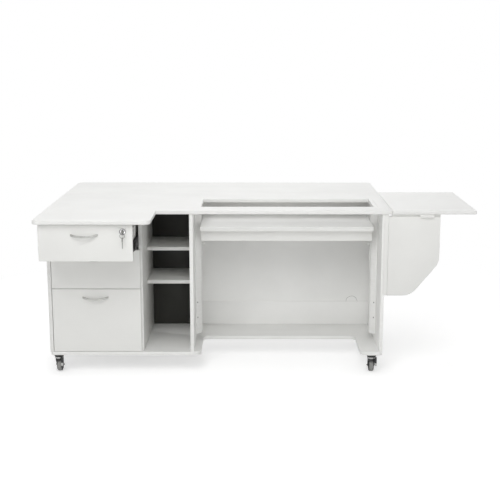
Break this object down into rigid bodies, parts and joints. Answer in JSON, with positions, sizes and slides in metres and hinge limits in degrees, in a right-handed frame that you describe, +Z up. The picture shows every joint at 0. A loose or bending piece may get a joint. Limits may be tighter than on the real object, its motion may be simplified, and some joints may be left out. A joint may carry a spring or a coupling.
{
  "type": "sewing cabinet",
  "caption": "Mobile sewing cabinet with an L-shaped top, a lift platform under a well, a side leaf on a swing-out wing, a rear leaf on stays, lockable drawers and an open cubby",
  "frame": {"origin": "middle of the bounding box's footprint, on the floor under the casters", "axes": "+X to the right along the long side, +Y from the sitter to the back, +Z up"},
  "size_m": [1.91, 1.172, 0.76],
  "materials": {
    "top_board": "white melamine on chipboard, satin, bullnosed edge",
    "white_board": "white melamine on chipboard, satin, edge-banded",
    "back_board": "thin white-faced fibreboard, satin",
    "dark_board": "charcoal-faced fibreboard, matt",
    "drawer_board": "white wrapped board, satin",
    "hinge_steel": "nickel-plated steel",
    "zinc_steel": "zinc-plated rolled steel",
    "white_steel": "white powder-coated steel",
    "black_steel": "black e-coated rolled steel",
    "satin_nickel": "satin nickel",
    "lock_chrome": "polished chrome plate",
    "grey_plastic": "light grey moulded plastic",
    "caster_black": "black powder-coated pressed steel",
    "tread": "dark grey thermoplastic rubber"
  },
  "bodies": {
    "carcass": {"worktop": "top_board", "well_filler": "top_board", "side_leaf": "top_board", "fixed_hinges": "hinge_steel", "leaf_stop_block": "white_board", "left_gable": "white_board", "drawer_gable": "white_board", "knee_gable": "white_board", "right_gable": "white_board", "base_board": "white_board", "back_rail": "white_board", "back_panels": "back_board", "cubby_back": "dark_board", "shelves": "white_board", "wing_batten": "white_board", "lift_columns": "white_board", "lift_rails": "zinc_steel", "stay_rails": "zinc_steel", "runner_channels": "black_steel", "caster_plates": "caster_black"},
    "wing": {"support_wing": "white_board", "wing_hinge_flaps": "hinge_steel"},
    "rear_leaf": {"rear_leaf": "top_board", "rear_hinge_flaps": "hinge_steel", "stay_brackets": "hinge_steel"},
    "stays": {"leaf_stays": "hinge_steel"},
    "lift": {"platform": "top_board", "platform_apron": "white_board", "lift_brackets": "white_steel"},
    "knob_left": {"clamp_knob_left": "grey_plastic"},
    "knob_right": {"clamp_knob_right": "grey_plastic"},
    "top_drawer": {"top_drawer_front": "white_board", "top_drawer_box": "drawer_board", "top_drawer_handle": "satin_nickel", "drawer_lock": "lock_chrome", "top_box_runners": "zinc_steel"},
    "middle_drawer": {"middle_drawer_front": "white_board", "middle_drawer_box": "drawer_board", "middle_drawer_handle": "satin_nickel", "middle_box_runners": "zinc_steel"},
    "low_drawer": {"low_drawer_front": "white_board", "low_drawer_box": "drawer_board", "low_drawer_handle": "satin_nickel", "low_box_runners": "zinc_steel"},
    "top_middles": {"top_runner_middles": "zinc_steel"},
    "middle_middles": {"middle_runner_middles": "zinc_steel"},
    "low_middles": {"low_runner_middles": "zinc_steel"},
    "key": {"key": "lock_chrome"},
    "key_ring": {"key_ring": "lock_chrome"},
    "spare_key": {"spare_key": "lock_chrome"},
    "fork_front_left": {"fork_front_left": "caster_black"},
    "wheel_front_left": {"wheel_front_left": "tread"},
    "fork_front_right": {"fork_front_right": "caster_black"},
    "wheel_front_right": {"wheel_front_right": "tread"},
    "fork_back_left": {"fork_back_left": "caster_black"},
    "wheel_back_left": {"wheel_back_left": "tread"},
    "fork_back_right": {"fork_back_right": "caster_black"},
    "wheel_back_right": {"wheel_back_right": "tread"},
    "brake_left": {"brake_lever_left": "grey_plastic"},
    "brake_right": {"brake_lever_right": "grey_plastic"}
  },
  "joints": [
    {"name": "wing_swing", "type": "hinge", "parent": "carcass", "child": "wing", "pos_m": [0.56925, -0.2875, 0.55], "axis": [0, 0, 1], "range_deg": [0, 88]},
    {"name": "rear_leaf_fold", "type": "hinge", "parent": "carcass", "child": "rear_leaf", "pos_m": [0, 0.2355, 0.7385], "axis": [1, 0, 0], "range_deg": [-90, 0]},
    {"name": "stay_turn", "type": "hinge", "parent": "rear_leaf", "child": "stays", "pos_m": [0, 0.4355, 0.73], "axis": [1, 0, 0], "range_deg": [0, 132.3]},
    {"name": "lift_slide", "type": "slide", "parent": "carcass", "child": "lift", "axis": [0, 0, 1], "range_m": [-0.33, 0.06]},
    {"name": "knob_left_turn", "type": "hinge", "parent": "lift", "child": "knob_left", "pos_m": [-0.255, -0.1, 0.5725], "axis": [1, 0, 0], "range_deg": [0, 180]},
    {"name": "knob_right_turn", "type": "hinge", "parent": "lift", "child": "knob_right", "pos_m": [0.497, -0.1, 0.5725], "axis": [1, 0, 0], "range_deg": [0, 180]},
    {"name": "top_drawer_slide", "type": "slide", "parent": "carcass", "child": "top_drawer", "axis": [0, -1, 0], "range_m": [-0.247, 0.15]},
    {"name": "middle_drawer_slide", "type": "slide", "parent": "carcass", "child": "middle_drawer", "axis": [0, -1, 0], "range_m": [0, 0.397]},
    {"name": "low_drawer_slide", "type": "slide", "parent": "carcass", "child": "low_drawer", "axis": [0, -1, 0], "range_m": [0, 0.397]},
    {"name": "top_middles_slide", "type": "slide", "parent": "carcass", "child": "top_middles", "axis": [0, -1, 0], "range_m": [-0.1235, 0.075]},
    {"name": "middle_middles_slide", "type": "slide", "parent": "carcass", "child": "middle_middles", "axis": [0, -1, 0], "range_m": [0, 0.1985]},
    {"name": "low_middles_slide", "type": "slide", "parent": "carcass", "child": "low_middles", "axis": [0, -1, 0], "range_m": [0, 0.1985]},
    {"name": "key_turn", "type": "hinge", "parent": "top_drawer", "child": "key", "pos_m": [-0.578, -0.556, 0.708], "axis": [0, -1, 0], "range_deg": [0, 90]},
    {"name": "key_ring_hang", "type": "hinge", "parent": "key", "child": "key_ring", "pos_m": [-0.578, -0.5705, 0.69876], "axis": [0, -1, 0], "range_deg": [-90, 0]},
    {"name": "spare_key_swing", "type": "hinge", "parent": "key_ring", "child": "spare_key", "pos_m": [-0.578, -0.5705, 0.69182], "axis": [0, 1, 0], "range_deg": [-40, 40]},
    {"name": "swivel_front_left", "type": "hinge", "parent": "carcass", "child": "fork_front_left", "pos_m": [-0.921, -0.271, 0.07], "axis": [0, 0, 1], "continuous": true},
    {"name": "roll_front_left", "type": "hinge", "parent": "fork_front_left", "child": "wheel_front_left", "pos_m": [-0.921, -0.253, 0.029], "axis": [1, 0, 0], "continuous": true},
    {"name": "swivel_front_right", "type": "hinge", "parent": "carcass", "child": "fork_front_right", "pos_m": [0.512, -0.271, 0.07], "axis": [0, 0, 1], "continuous": true},
    {"name": "roll_front_right", "type": "hinge", "parent": "fork_front_right", "child": "wheel_front_right", "pos_m": [0.512, -0.253, 0.029], "axis": [1, 0, 0], "continuous": true},
    {"name": "swivel_back_left", "type": "hinge", "parent": "carcass", "child": "fork_back_left", "pos_m": [-0.921, 0.137, 0.07], "axis": [0, 0, 1], "continuous": true},
    {"name": "roll_back_left", "type": "hinge", "parent": "fork_back_left", "child": "wheel_back_left", "pos_m": [-0.921, 0.155, 0.029], "axis": [1, 0, 0], "continuous": true},
    {"name": "swivel_back_right", "type": "hinge", "parent": "carcass", "child": "fork_back_right", "pos_m": [0.512, 0.137, 0.07], "axis": [0, 0, 1], "continuous": true},
    {"name": "roll_back_right", "type": "hinge", "parent": "fork_back_right", "child": "wheel_back_right", "pos_m": [0.512, 0.155, 0.029], "axis": [1, 0, 0], "continuous": true},
    {"name": "brake_left_press", "type": "hinge", "parent": "fork_front_left", "child": "brake_left", "pos_m": [-0.921, -0.265, 0.0622], "axis": [1, 0, 0], "range_deg": [0, 14]},
    {"name": "brake_right_press", "type": "hinge", "parent": "fork_front_right", "child": "brake_right", "pos_m": [0.512, -0.265, 0.0622], "axis": [1, 0, 0], "range_deg": [0, 14]}
  ],
  "couplings": [
    {"joint": "stay_turn", "follows": "rear_leaf_fold", "ratio": -1.4695},
    {"joint": "key_ring_hang", "follows": "key_turn", "ratio": -1},
    {"joint": "top_middles_slide", "follows": "top_drawer_slide", "ratio": 0.5},
    {"joint": "middle_middles_slide", "follows": "middle_drawer_slide", "ratio": 0.5},
    {"joint": "low_middles_slide", "follows": "low_drawer_slide", "ratio": 0.5}
  ]
}
